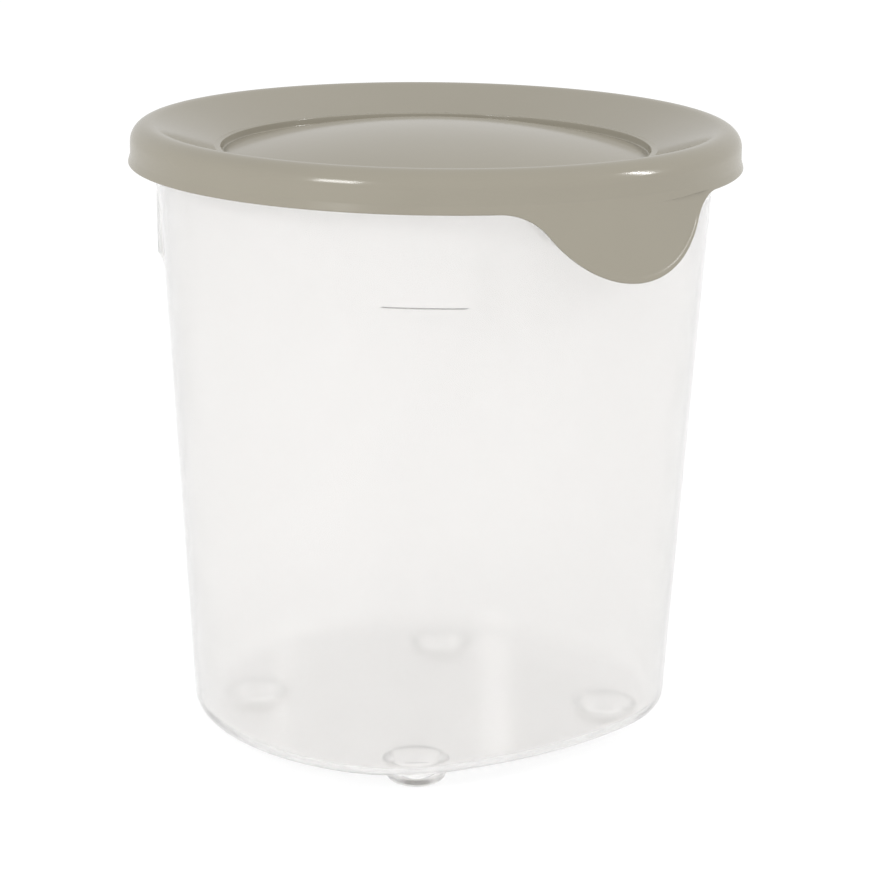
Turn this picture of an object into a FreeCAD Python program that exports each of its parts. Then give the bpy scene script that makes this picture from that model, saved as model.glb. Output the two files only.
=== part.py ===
import FreeCAD, Part
import math
import os
import Sketcher

# A round food keeper: a translucent tub on four moulded feet, and a press-on lid with a thumb tab.
# Millimetres, +Z up, the origin on the table under the middle of the outline, the front towards -Y.
# A bearing is an angle about +Z, counted from the front towards +X.

SIZES = (
    ("foot_height", 5.5, "feet, from the table to the underside of the base"),
    ("foot_margin", 18.5, "from the round part of the base in to the middle of a foot"),
    ("foot_bearing", -40.0, "bearing of the front left foot; the others follow by quarter turns"),
    ("foot_top", 10.0, "radius of a foot where it leaves the base"),
    ("foot_tip", 8.4, "radius of a foot at the table"),
    ("foot_sink", 0.8, "how far a foot runs up into the floor"),
    ("foot_round", 2.8, "rounding of a foot's tip"),
    ("foot_inset", 0.7, "how much smaller the hollow in a foot is than the foot"),
    ("wall", 1.4, "thickness of the tub's wall"),
    ("floor", 1.6, "thickness of the tub's floor"),
    ("base_radius", 73.0, "round part of the base"),
    ("panel_depth", 10.5, "how far the flattened front is set back from the round part, at the base"),
    ("panel_radius", 145.0, "bow of the flattened front, at the base"),
    ("corner_radius", 45.0, "rounding between the flattened front and the round part"),
    ("base_round", 6.0, "outer rounding under the wall"),
    ("floor_round", 5.0, "inner rounding between the wall and the floor"),
    ("tub_height", 180.8, "from the underside of the base to the top of the rim"),
    ("mouth_radius", 83.6, "outside of the wall, under the rim"),
    ("mouth_panel", 30.0, "bearing that the panel's edge runs up to at the mouth"),
    ("mouth_corner", 60.0, "bearing that the corner's edge runs up to at the mouth"),
    ("rim_overhang", 5.65, "how far the rim stands out from the wall"),
    ("rim_drop", 3.0, "depth of the rim's turned-down edge below its bead"),
    ("bead_round", 3.65, "rounding of the rim's bead"),
    ("lug_bearing_front", -38.0, "bearing of the front nesting stop"),
    ("lug_bearing_left", -130.0, "bearing of the left nesting stop"),
    ("lug_bearing_right", 96.0, "bearing of the right nesting stop"),
    ("lug_width", 20.0, "angle that a nesting stop takes up"),
    ("lug_stand", 1.7, "how far a nesting stop stands proud at its lower edge"),
    ("lug_draft", 0.4, "how much further out a nesting stop is at its top"),
    ("lug_sink", 0.7, "how deep a nesting stop is rooted in the wall"),
    ("lug_drop", 33.75, "from the rim's bead to the lower edge of a nesting stop"),
    ("lug_shoulder", 5.5, "height of the slope under a nesting stop"),
    ("lid_clearance", 0.3, "gap between the lid and the rim"),
    ("lid_wall", 1.6, "thickness of the lid"),
    ("brim_height", 11.9, "from the lid's lower edge to the top of its crest"),
    ("lip_height", 2.7, "height of the flared lip along the lower edge"),
    ("lip_flare", 0.75, "how far the lip stands out from the brim"),
    ("channel_angle", 21.0, "slope from the crest down to the centre disc"),
    ("disc_radius", 64.0, "centre disc"),
    ("disc_crown", 8.0, "rise of the centre disc's dome"),
    ("land_width", 1.4, "level ring between the slope and the step"),
    ("step_height", 2.3, "step from that ring down to the disc"),
    ("step_run", 0.8, "slant of that step"),
    ("plug_wall", 1.2, "thickness of the sealing lip inside the mouth"),
    ("plug_depth", 5.5, "reach of the sealing lip below the rim's bead"),
    ("plug_taper", 0.6, "draft of the sealing lip"),
    ("tab_drop", 20.5, "reach of the thumb tab below the lid's lower edge"),
    ("tab_flare", 6.0, "how far the tab leans out at its tip"),
    ("tab_round", 32.0, "rounding of the tab's tip"),
    ("tab_root", 15.0, "rounding where the tab leaves the lower edge"),
    ("tab_margin", 6.0, "spare length of the band that the tab is cut from"),
)


class Size:
    """A number together with the sheet expression that gives it."""

    def __init__(self, value, text):
        self.value = value
        self.text = text

    def __add__(self, other):
        other = as_size(other)
        return Size(self.value + other.value, f"({self.text} + {other.text})")

    def __sub__(self, other):
        other = as_size(other)
        return Size(self.value - other.value, f"({self.text} - {other.text})")

    def __mul__(self, other):
        other = as_size(other)
        return Size(self.value * other.value, f"({self.text} * {other.text})")

    def __truediv__(self, other):
        other = as_size(other)
        return Size(self.value / other.value, f"({self.text} / {other.text})")

    def __neg__(self):
        return Size(-self.value, f"(0 - {self.text})")


def as_size(number):
    """A plain number as a Size."""
    return number if isinstance(number, Size) else Size(float(number), repr(float(number)))


def sine(angle):
    return Size(math.sin(math.radians(angle.value)), f"sin({angle.text})")


def cosine(angle):
    return Size(math.cos(math.radians(angle.value)), f"cos({angle.text})")


def tangent(angle):
    return Size(math.tan(math.radians(angle.value)), f"tan({angle.text})")


def root(square):
    return Size(math.sqrt(square.value), f"sqrt({square.text})")


def angle_of(share):
    """Angle whose cosine this is, as a plain number of degrees."""
    return Size(math.degrees(math.acos(share.value)), f"(acos({share.text}) / 1 deg)")


doc = FreeCAD.newDocument("keeper")
sheet = doc.addObject("Spreadsheet::Sheet", "Sizes")
for row, (alias, number, meaning) in enumerate(SIZES, start=1):
    sheet.set(f"A{row}", alias)
    sheet.set(f"B{row}", str(number))
    sheet.setAlias(f"B{row}", alias)
    sheet.set(f"C{row}", meaning)
doc.recompute()
size = {alias: Size(float(sheet.get(alias)), f"Sizes.{alias}") for alias, _, _ in SIZES}
ZERO = as_size(0)
HALF_TURN = as_size(180)
QUARTER_TURN = as_size(90)
BACK_PARTS = 8
SECTION_BEARING = as_size(90)
NEAR = 1e-4


def bind(thing, path, amount):
    """Tie a property to the sheet."""
    thing.setExpression(path, amount.text)


def on_bearing(radius, bearing):
    """X and Y of a point at a radius and a bearing."""
    return radius * sine(bearing), -(radius * cosine(bearing))


def new_body(label):
    body = doc.addObject("PartDesign::Body", label)
    body.Label = label
    return body


def new_sketch(body, name, plane_role, lift=ZERO, turn=None):
    """A sketch on one of the body's own planes, lifted off it or turned about +Z."""
    sketch = body.newObject("Sketcher::SketchObject", name)
    plane = next(feature for feature in body.Origin.OriginFeatures if feature.Role == plane_role)
    sketch.AttachmentSupport = [(plane, "")]
    sketch.MapMode = "FlatFace"
    upright = FreeCAD.Vector(0, 1, 0)
    angle = turn.value if turn else 0.0
    rotation = FreeCAD.Rotation(upright, angle)
    sketch.AttachmentOffset = FreeCAD.Placement(FreeCAD.Vector(0, 0, lift.value), rotation)
    if lift is not ZERO:
        bind(sketch, "AttachmentOffset.Base.z", lift)
    return sketch


def arc_between(start, end, radius, clockwise):
    """The circular arc from start to end, which a sketch always stores counter-clockwise."""
    if clockwise:
        start, end = end, start
    chord = end - start
    half = chord.Length / 2
    offset = math.sqrt(max(radius ** 2 - half ** 2, 0.0))
    left = FreeCAD.Vector(-chord.y, chord.x, 0).normalize()
    centre = (start + end) * 0.5 + left * offset
    circle = Part.Circle(centre, FreeCAD.Vector(0, 0, 1), radius)
    first = math.atan2(start.y - centre.y, start.x - centre.x)
    last = math.atan2(end.y - centre.y, end.x - centre.x)
    if last <= first:
        last += 2 * math.pi
    return Part.ArcOfCircle(circle, first, last)


class Curve:
    """How one side of an outline bends: its radius and its turning sense. It stays under a half circle."""

    def __init__(self, radius, clockwise=False):
        self.radius = radius
        self.clockwise = clockwise


def draw_outline(sketch, corners, curves):
    """Close an outline through corners tied to the sheet. Sides are straight, apart from those in curves."""
    points = [FreeCAD.Vector(x.value, y.value, 0) for x, y in corners]
    sides = []
    for index, start in enumerate(points):
        end = points[(index + 1) % len(points)]
        curve = curves.get(index)
        if curve is None:
            side = sketch.addGeometry(Part.LineSegment(start, end), False)
            sides.append((side, 1, 2))
            continue
        arc = arc_between(start, end, curve.radius.value, curve.clockwise)
        side = sketch.addGeometry(arc, False)
        sides.append((side, 2, 1) if curve.clockwise else (side, 1, 2))
    for index, (side, _, last) in enumerate(sides):
        following, joint, _ = sides[(index + 1) % len(sides)]
        sketch.addConstraint(Sketcher.Constraint("Coincident", side, last, following, joint))
    for (side, first, _), (x, y) in zip(sides, corners):
        for kind, amount in (("DistanceX", x), ("DistanceY", y)):
            tie = sketch.addConstraint(Sketcher.Constraint(kind, -1, 1, side, first, amount.value))
            bind(sketch, f"Constraints[{tie}]", amount)
    for index, curve in curves.items():
        tie = sketch.addConstraint(Sketcher.Constraint("Radius", sides[index][0], curve.radius.value))
        bind(sketch, f"Constraints[{tie}]", curve.radius)


def revolve(body, name, sketch, angle=None):
    """Turn a sketch about its upright axis, all the way or by an angle to both sides."""
    feature = body.newObject("PartDesign::Revolution", name)
    feature.Profile = sketch
    feature.ReferenceAxis = (sketch, ["V_Axis"])
    if angle:
        feature.Midplane = True
        bind(feature, "Angle", angle)
    else:
        feature.Angle = 360
    sketch.Visibility = False
    doc.recompute()
    return feature


def loft(body, name, kind, upper, lower):
    """A ruled wall from the upper outline down to the lower one, added or cut away."""
    feature = body.newObject(f"PartDesign::{kind}", name)
    feature.Profile = upper
    feature.Sections = [lower]
    feature.Ruled = True
    doc.recompute()
    return feature


def edges_at(shape, height, radius=None):
    """Names of the edges that lie level at a height, of any shape or of circles of one radius."""
    names = []
    for number, edge in enumerate(shape.Edges, start=1):
        box = edge.BoundBox
        level = abs(box.ZMin - height.value) < NEAR and abs(box.ZMax - height.value) < NEAR
        own_radius = getattr(edge.Curve, "Radius", math.inf)
        if level and (radius is None or abs(own_radius - radius.value) < NEAR):
            names.append(f"Edge{number}")
    if not names:
        raise RuntimeError(f"no edge to round at height {height.value:.2f}")
    return names


def fillet(body, name, edge_names, radius):
    base = body.Tip
    feature = body.newObject("PartDesign::Fillet", name)
    feature.Base = (base, edge_names)
    bind(feature, "Radius", radius)
    doc.recompute()
    return feature


# Levels and radii that the tub and the lid share

base_level = size["foot_height"]
floor_level = base_level + size["floor"]
bead_level = base_level + size["tub_height"] - size["bead_round"]
rim_radius = size["mouth_radius"] + size["rim_overhang"]
bead_circle = rim_radius - size["bead_round"]
mouth_inside = size["mouth_radius"] - size["wall"]
wall_lean = (size["mouth_radius"] - size["base_radius"]) / (bead_level - base_level)
slope_sine = sine(size["channel_angle"])
slope_cosine = cosine(size["channel_angle"])
slope_tangent = tangent(size["channel_angle"])


def slope_start(radius):
    """Where the sloping channel leaves an arc of this radius about the bead, from the bead's level."""
    return bead_circle - radius * slope_sine, radius * slope_cosine


def slope_height(radius, reach):
    """Height of the sloping channel above the bead's level, at a reach from the axis."""
    start_reach, start_height = slope_start(radius)
    return start_height - (start_reach - reach) * slope_tangent


# Tub

def wall_outline(body, name, level, panel_end, panel_middle, round_part, corner_bearing, radii):
    """Plan of the wall at a level: a front in two halves, rounded corners and a round part in short arcs."""
    panel_x, panel_y = panel_end
    back = (HALF_TURN - corner_bearing) * 2
    bearings = [corner_bearing + back * (number / BACK_PARTS) for number in range(BACK_PARTS + 1)]
    corners = [(-panel_x, panel_y), (ZERO, panel_middle), (panel_x, panel_y)]
    corners += [on_bearing(round_part, bearing) for bearing in bearings]
    panel, corner = radii
    bends = [panel, panel, corner] + [round_part] * BACK_PARTS + [corner]
    sketch = new_sketch(body, name, "XY_Plane", lift=level)
    draw_outline(sketch, corners, {side: Curve(bend) for side, bend in enumerate(bends)})
    return sketch


def base_outline(body, name, level, inset):
    """Plan of the wall at its foot: a circle, a gently bowed front and a rounding between them."""
    round_part = size["base_radius"] - inset
    panel = size["panel_radius"] - inset
    corner = size["corner_radius"] - inset
    panel_centre = size["panel_radius"] + size["panel_depth"] - size["base_radius"]
    to_panel = size["panel_radius"] - size["corner_radius"]
    to_round = size["base_radius"] - size["corner_radius"]
    ahead = (to_panel * to_panel - to_round * to_round - panel_centre * panel_centre) / (panel_centre * 2)
    aside = root(to_round * to_round - ahead * ahead)
    front_x = aside * panel / to_panel
    front_y = panel_centre - (ahead + panel_centre) * panel / to_panel
    middle = panel_centre - panel
    bearing = angle_of(ahead / to_round)
    return wall_outline(body, name, level, (front_x, front_y), middle, round_part, bearing, (panel, corner))


def mouth_outline(body, name, level, inset):
    """Plan of the wall at the mouth: a circle, parted where the panel and the corners run up to it."""
    radius = size["mouth_radius"] - inset
    panel_end = on_bearing(radius, size["mouth_panel"])
    bearing = size["mouth_corner"]
    return wall_outline(body, name, level, panel_end, -radius, radius, bearing, (radius, radius))


def add_wall(body):
    """The tapered wall and floor, rounded under the wall and inside at the floor."""
    outer = base_outline(body, "base_outside", base_level, ZERO)
    mouth = mouth_outline(body, "mouth_outside", bead_level, ZERO)
    loft(body, "outside", "AdditiveLoft", mouth, outer)
    inner = base_outline(body, "base_inside", floor_level, size["wall"])
    opening = mouth_outline(body, "mouth_inside", bead_level, size["wall"])
    loft(body, "inside", "SubtractiveLoft", opening, inner)
    fillet(body, "floor_edge", edges_at(body.Tip.Shape, floor_level), size["floor_round"])
    fillet(body, "base_edge", edges_at(body.Tip.Shape, base_level), size["base_round"])


def add_rim(body):
    """The rim: a rounded bead that the lid seats on, with a turned-down edge outside the wall."""
    bead = size["bead_round"]
    tangent_reach, tangent_height = slope_start(bead)
    skirt_inside = rim_radius - size["wall"]
    skirt_level = bead_level - size["rim_drop"]
    brink = bead_level + slope_height(bead, mouth_inside)
    under = brink - size["wall"]
    corners = [
        (mouth_inside, bead_level),
        (size["mouth_radius"], bead_level),
        (size["mouth_radius"], under),
        (skirt_inside, under),
        (skirt_inside, skirt_level),
        (rim_radius, skirt_level),
        (rim_radius, bead_level),
        (tangent_reach, bead_level + tangent_height),
        (mouth_inside, brink),
    ]
    sketch = new_sketch(body, "rim_section", "XZ_Plane")
    draw_outline(sketch, corners, {6: Curve(bead)})
    revolve(body, "rim", sketch)


def add_lugs(body):
    """Nesting stops: pads high on the wall that carry a tub pushed into another one."""
    top = bead_level - size["rim_drop"]
    edge = bead_level - size["lug_drop"]
    shoulder = edge - size["lug_shoulder"]
    sunk = size["lug_sink"]

    def on_wall(level):
        return size["mouth_radius"] - (bead_level - level) * wall_lean

    face = on_wall(edge) + size["lug_stand"]
    corners = [
        (on_wall(shoulder) - sunk, shoulder),
        (face, edge),
        (face + size["lug_draft"], top),
        (on_wall(top) - sunk, top),
    ]
    for place in ("front", "left", "right"):
        bearing = size[f"lug_bearing_{place}"]
        turn = bearing - SECTION_BEARING
        sketch = new_sketch(body, f"lug_section_{place}", "XZ_Plane", turn=turn)
        bind(sketch, "AttachmentOffset.Rotation.Angle", turn)
        draw_outline(sketch, corners, {})
        revolve(body, f"lug_{place}", sketch, size["lug_width"])


def add_cone(body, name, kind, spot, level, lower, upper, height):
    """A cone on a foot's axis, added or cut away."""
    feature = body.newObject(f"PartDesign::{kind}", name)
    bind(feature, "Radius1", lower)
    bind(feature, "Radius2", upper)
    bind(feature, "Height", height)
    for axis, amount in zip("xyz", (spot[0], spot[1], level)):
        bind(feature, f"Placement.Base.{axis}", amount)
    doc.recompute()


def add_feet(body):
    """Four feet, each a cup pressed out of the floor, hollow from inside and flat on the table."""
    reach = size["base_radius"] - size["foot_margin"]
    places = ("front_left", "front_right", "back_right", "back_left")
    bearings = {place: size["foot_bearing"] + QUARTER_TURN * turns for turns, place in enumerate(places)}
    top = size["foot_top"]
    tip = size["foot_tip"]
    rise = base_level + size["foot_sink"]
    spread = (top - tip) * rise / base_level
    for place, bearing in bearings.items():
        spot = on_bearing(reach, bearing)
        add_cone(body, f"foot_{place}", "AdditiveCone", spot, ZERO, tip, tip + spread, rise)
    fillet(body, "foot_edges", edges_at(body.Tip.Shape, ZERO, tip), size["foot_round"])
    inset = size["foot_inset"]
    for place, bearing in bearings.items():
        spot = on_bearing(reach, bearing)
        name = f"foot_hollow_{place}"
        add_cone(body, name, "SubtractiveCone", spot, size["floor"], tip - inset, top - inset, base_level)


# Lid, drawn from the level of the rim's bead

brim_inside = rim_radius + size["lid_clearance"]
brim_outside = brim_inside + size["lid_wall"]
crest_inside = size["bead_round"] + size["lid_clearance"]
crest_outside = crest_inside + size["lid_wall"]
lip_edge = crest_outside - size["brim_height"]
lip_outside = brim_outside + size["lip_flare"]


def dome(radius, rise):
    """Radius of an arc that rises by this much from its edge to the axis."""
    return (radius * radius + rise * rise) / (rise * 2)


def add_tab(body):
    """The thumb tab: a leaning band under the lip, cut to a rounded outline seen from the front."""
    wall = size["lid_wall"]
    drop = size["tab_drop"]
    lean = size["tab_flare"] / drop
    band = drop + size["tab_margin"]
    tip_centre = size["tab_round"] - drop
    spread = size["tab_round"] + size["tab_root"]
    root_reach = root(spread * spread - (tip_centre + size["tab_root"]) * (tip_centre + size["tab_root"]))
    share = size["tab_round"] / spread
    bend_x = root_reach * share
    bend_y = tip_centre - (tip_centre + size["tab_root"]) * share
    side = root_reach + size["tab_margin"]
    half_angle = Size(math.degrees(math.asin(side.value / lip_outside.value)),
                      f"asin({side.text} / {lip_outside.text})")
    corners = [
        (brim_inside, lip_edge + size["lip_height"]),
        (lip_outside - wall, lip_edge),
        (lip_outside - wall + lean * band, lip_edge - band),
        (lip_outside + lean * band, lip_edge - band),
        (lip_outside, lip_edge),
        (brim_outside, lip_edge + size["lip_height"]),
    ]
    section = new_sketch(body, "tab_section", "XZ_Plane", turn=-SECTION_BEARING)
    draw_outline(section, corners, {})
    revolve(body, "tab_band", section, half_angle * 2)
    around = lip_outside
    below = lip_edge - band - size["tab_margin"]
    trim = new_sketch(body, "tab_outline", "XZ_Plane")
    outline = [
        (-around, below),
        (around, below),
        (around, lip_edge),
        (root_reach, lip_edge),
        (bend_x, lip_edge + bend_y),
        (-bend_x, lip_edge + bend_y),
        (-root_reach, lip_edge),
        (-around, lip_edge),
    ]
    root_bend = Curve(size["tab_root"])
    draw_outline(trim, outline, {3: root_bend, 4: Curve(size["tab_round"], clockwise=True), 5: root_bend})
    pocket = body.newObject("PartDesign::Pocket", "tab_trim")
    pocket.Profile = trim
    pocket.Type = "Length"
    bind(pocket, "Length", lip_outside * 2)
    pocket.Reversed = True
    before = body.Shape.Volume
    doc.recompute()
    if not body.Shape.Volume < before:
        raise RuntimeError("the tab's outline cut nothing")


def add_cover(body):
    """The round cover: brim, crest, sloping channel, level ring, step, domed disc and sealing lip."""
    wall = size["lid_wall"]
    disc = size["disc_radius"]
    step_top = disc + size["step_run"]
    land = step_top + size["land_width"]
    top_height = slope_height(crest_outside, land)
    disc_height = top_height - size["step_height"]
    under = disc + wall
    under_top = under + size["step_run"]
    plug_outside = mouth_inside - size["lid_clearance"]
    plug_foot = plug_outside - size["plug_taper"]
    plug_inside = plug_outside - size["plug_wall"]
    crest_reach, crest_height = slope_start(crest_outside)
    seat_reach, seat_height = slope_start(crest_inside)
    corners = [
        (lip_outside, lip_edge),
        (brim_outside, lip_edge + size["lip_height"]),
        (brim_outside, ZERO),
        (crest_reach, crest_height),
        (land, top_height),
        (step_top, top_height),
        (disc, disc_height),
        (ZERO, disc_height + size["disc_crown"]),
        (ZERO, disc_height + size["disc_crown"] - wall),
        (under, disc_height - wall),
        (under_top, slope_height(crest_inside, under_top)),
        (plug_inside, slope_height(crest_inside, plug_inside)),
        (plug_foot - size["plug_wall"], -size["plug_depth"]),
        (plug_foot, -size["plug_depth"]),
        (plug_outside, slope_height(crest_inside, plug_outside)),
        (seat_reach, seat_height),
        (brim_inside, ZERO),
        (brim_inside, lip_edge + size["lip_height"]),
        (lip_outside - wall, lip_edge),
    ]
    curves = {
        2: Curve(crest_outside),
        6: Curve(dome(disc, size["disc_crown"])),
        8: Curve(dome(under, size["disc_crown"]), clockwise=True),
        15: Curve(crest_inside, clockwise=True),
    }
    sketch = new_sketch(body, "cover_section", "XZ_Plane")
    draw_outline(sketch, corners, curves)
    revolve(body, "cover", sketch)


tub = new_body("tub")
add_wall(tub)
add_rim(tub)
add_lugs(tub)
add_feet(tub)

lid = new_body("lid")
add_tab(lid)
add_cover(lid)
bind(lid, "Placement.Base.z", bead_level)

# The tab stands out at the front alone, so the axis sits behind the middle of the outline
pieces = (tub, lid)
for piece in pieces:
    bind(piece, "Placement.Base.y", size["tab_flare"] / 2)
doc.recompute()

failed = [thing.Name for thing in doc.Objects if {"Invalid", "Error"} & set(thing.State)]
if failed:
    raise RuntimeError(f"not built: {failed}")
for piece in pieces:
    if piece.Shape.isNull() or not piece.Shape.isValid() or len(piece.Shape.Solids) != 1:
        raise RuntimeError(f"{piece.Label} isn't one sound solid")

os.makedirs("parts", exist_ok=True)
for piece in pieces:
    piece.Shape.exportStep(f"parts/{piece.Label}.step")
    box = piece.Shape.optimalBoundingBox()
    print(f"{piece.Label}: {piece.Shape.Volume / 1000:.1f} ml, Z {box.ZMin:.2f} to {box.ZMax:.2f}, "
          f"X {box.XMin:.2f} to {box.XMax:.2f}, Y {box.YMin:.2f} to {box.YMax:.2f}")
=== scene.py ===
# A round food keeper: a translucent tub on four moulded feet under a taupe press-on lid with a thumb tab.
import logging
import math
from dataclasses import dataclass, field
from enum import Enum

import bmesh
import bpy
import numpy as np
from mathutils import Matrix, Vector
from mathutils.geometry import delaunay_2d_cdt


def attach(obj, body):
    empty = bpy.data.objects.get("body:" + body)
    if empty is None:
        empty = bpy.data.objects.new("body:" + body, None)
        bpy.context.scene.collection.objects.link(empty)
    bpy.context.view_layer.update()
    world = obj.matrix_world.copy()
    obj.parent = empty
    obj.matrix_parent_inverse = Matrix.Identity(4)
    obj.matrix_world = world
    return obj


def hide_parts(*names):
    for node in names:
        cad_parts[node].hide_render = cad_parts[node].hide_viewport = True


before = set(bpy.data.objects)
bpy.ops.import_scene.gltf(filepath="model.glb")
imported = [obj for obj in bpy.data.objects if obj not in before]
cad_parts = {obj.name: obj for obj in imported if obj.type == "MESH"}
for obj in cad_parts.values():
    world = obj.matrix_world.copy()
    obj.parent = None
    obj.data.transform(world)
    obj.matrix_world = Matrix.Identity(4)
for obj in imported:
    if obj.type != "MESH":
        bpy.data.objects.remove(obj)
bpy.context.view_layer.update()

LOG = logging.getLogger("keeper")
MM = 0.001
# How far the keeper's axis lies behind the frame's origin, in millimetres
AXIS_Y = 3.0
# Points closer than this, in metres, are one point
WELD = 1e-6
# An edge that turns by more than this is sharp
SHARP = math.radians(38)
# A face whose normal is closer to upright than this is flat
LEVEL = 0.99999
# Part of a noise pattern's range that is used
NOISE_RANGE = {"From Min": 0.3, "From Max": 0.7}


class Slot(Enum):
    """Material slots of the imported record."""

    TUB = "tub_plastic"
    LID = "lid_plastic"


class Body(Enum):
    """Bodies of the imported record, which carry a node of the same name."""

    TUB = "tub"
    LID = "lid"


def linear(code: str) -> tuple[float, float, float, float]:
    """Turn an sRGB hex colour into linear light.

    Args:
        code: The colour as "#RRGGBB".

    Returns:
        Linear red, green, blue and an alpha of 1.
    """
    shares = [int(code[start:start + 2], 16) / 255 for start in (1, 3, 5)]
    light = [share / 12.92 if share <= 0.04045 else ((share + 0.055) / 1.055) ** 2.4 for share in shares]
    return light[0], light[1], light[2], 1.0


def add_node(tree: bpy.types.NodeTree, kind: str, settings: dict | None = None,
             links: dict | None = None) -> bpy.types.Node:
    """Add a node with its settings and links.

    Args:
        tree: The node tree to add to.
        kind: The node's type name.
        settings: Values by input name, or by property name where there is no such input.
        links: Source node and output name, by input name.

    Returns:
        The new node.
    """
    node = tree.nodes.new(kind)
    for key, value in (settings or {}).items():
        if key in node.inputs:
            node.inputs[key].default_value = value
        else:
            setattr(node, key, value)
    for key, (source, output) in (links or {}).items():
        tree.links.new(source.outputs[output], node.inputs[key])
    return node


def new_material(name: str) -> bpy.types.Material:
    """Make a material with an empty node tree.

    Args:
        name: Name of the real material.

    Returns:
        The material.
    """
    material = bpy.data.materials.new(name)
    material.use_nodes = True
    material.node_tree.nodes.clear()
    return material


def on_bearing(radius: np.ndarray, bearing: np.ndarray) -> np.ndarray:
    """Points on circles about the axis: x = r sin b, y = -r cos b, so that bearing 0 is the front.

    Args:
        radius: Radii in millimetres.
        bearing: Bearings in degrees, of a shape that fits the radii.

    Returns:
        X and Y along a new last axis.
    """
    angle = np.radians(bearing)
    return np.stack(np.broadcast_arrays(radius * np.sin(angle), -radius * np.cos(angle)), axis=-1)


def smooth(amount: np.ndarray) -> np.ndarray:
    """Ease from 0 to 1 with level ends: 3 t^2 - 2 t^3 of the clipped amount."""
    share = np.clip(amount, 0, 1)
    return share * share * (3 - 2 * share)


def rounded(corners: np.ndarray, radii: np.ndarray, steps: int = 8) -> np.ndarray:
    """Round the inner corners of an open profile.

    At a corner with unit directions a in and b out, which turn by the angle q, the arc of radius r starts
    r tan(q/2) before the corner and runs through start + r (a sin kq + n (1 - cos kq)), k from 0 to 1, where
    n = (b - a cos q) / sin q points to the arc's centre.

    Args:
        corners: Profile corners, one row each.
        radii: Radius at each corner but the first and the last.
        steps: Arc points per corner.

    Returns:
        The rounded profile, one row per point.
    """
    before = corners[1:-1] - corners[:-2]
    after = corners[2:] - corners[1:-1]
    before = before / np.linalg.norm(before, axis=1, keepdims=True)
    after = after / np.linalg.norm(after, axis=1, keepdims=True)
    turn = np.arccos(np.clip((before * after).sum(axis=1), -1, 1))[:, None]
    radius = radii[:, None]
    inward = (after - before * np.cos(turn)) / np.sin(turn)
    start = corners[1:-1] - before * radius * np.tan(turn / 2)
    angle = turn[:, :, None] * np.linspace(0, 1, steps)[None, :, None]
    arcs = start[:, None] + radius[:, :, None] * (
        before[:, None] * np.sin(angle) + inward[:, None] * (1 - np.cos(angle)))
    return np.vstack([corners[:1], arcs.reshape(-1, 2), corners[-1:]])


def resampled(profile: np.ndarray, spacing: float) -> np.ndarray:
    """Add points along a profile so that none are further apart than the spacing.

    Args:
        profile: Profile points, one row each.
        spacing: Largest distance in millimetres.

    Returns:
        The old points with evenly placed ones between them.
    """
    length = np.concatenate([[0], np.cumsum(np.linalg.norm(np.diff(profile, axis=0), axis=1))])
    places = np.unique(np.concatenate([length, np.arange(0, length[-1], spacing)]))
    return np.stack([np.interp(places, length, profile[:, axis]) for axis in (0, 1)], axis=1)


def turned(profile: np.ndarray, bearings: np.ndarray) -> np.ndarray:
    """Turn a profile of (r, z) about the axis: each point becomes a ring at its radius and height.

    Args:
        profile: Radius and height of each station.
        bearings: Bearing of each column in degrees.

    Returns:
        Points of shape (stations, columns, 3).
    """
    plan = on_bearing(profile[:, None, 0], bearings[None, :])
    heights = np.broadcast_to(profile[:, None, 1:], (*plan.shape[:2], 1))
    return np.concatenate([plan, heights], axis=-1)


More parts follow.
